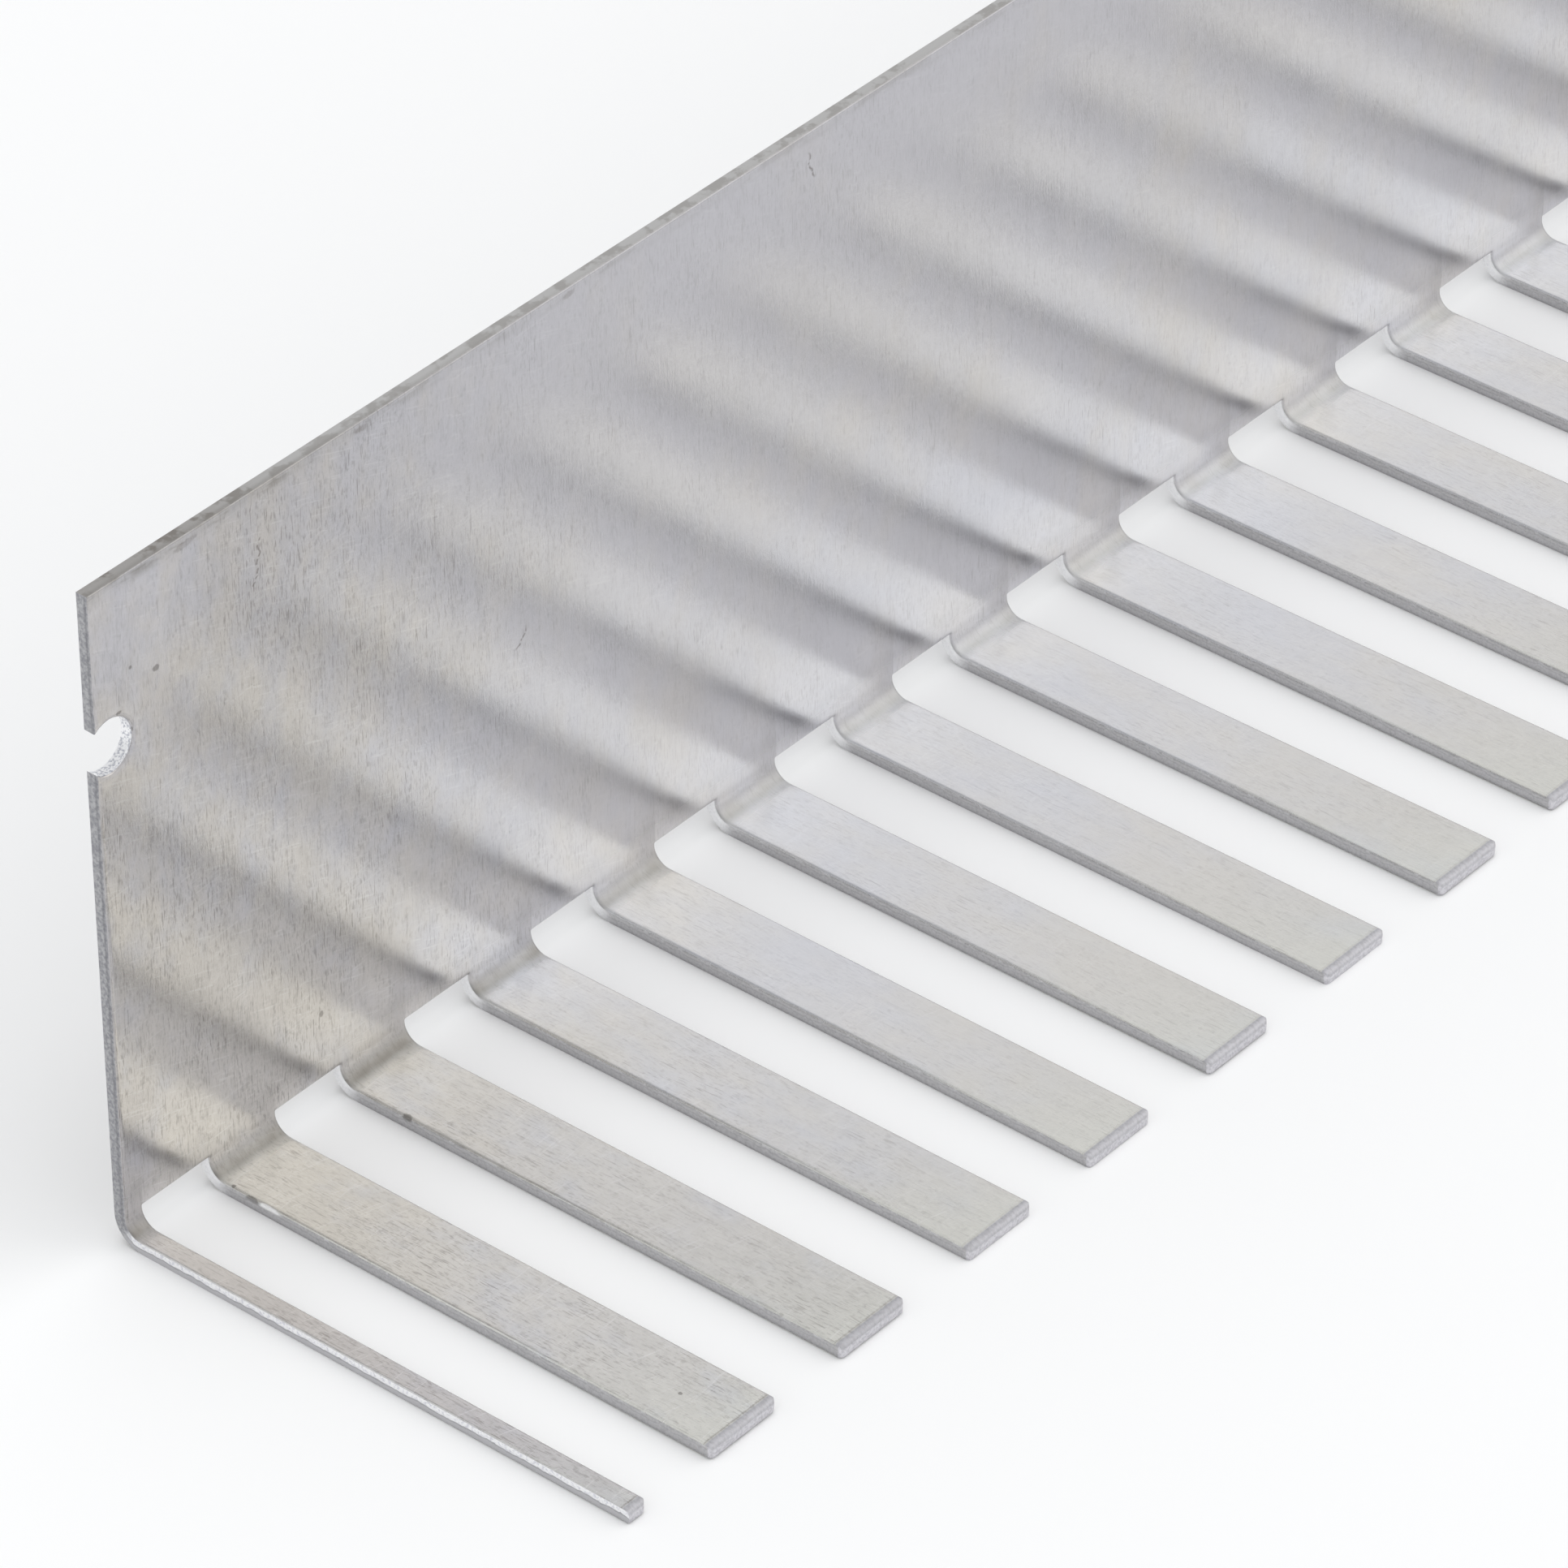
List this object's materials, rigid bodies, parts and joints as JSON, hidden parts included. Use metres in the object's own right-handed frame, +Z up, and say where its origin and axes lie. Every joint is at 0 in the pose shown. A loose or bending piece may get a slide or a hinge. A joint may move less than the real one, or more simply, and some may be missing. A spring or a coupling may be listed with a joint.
{
  "type": "eaves mouse guard",
  "caption": "L-shaped aluminium eaves mouse guard: a plain nailing plate with a nail-hole row, and a bent-over comb of fingers that lets air pass.",
  "frame": {"origin": "middle of the underside of the fingers, on the floor", "axes": "+X along the stock, away from the end whose cut goes through a nail hole; +Y from the finger tips to the plate's back; +Z up"},
  "size_m": [1, 0.0346, 0.0405],
  "materials": {
    "aluminium": "mill finish, faint rolling grain along the fingers and up the plate, light scuffs"
  },
  "bodies": {
    "root": {"comb_angle": "aluminium"}
  },
  "joints": []
}
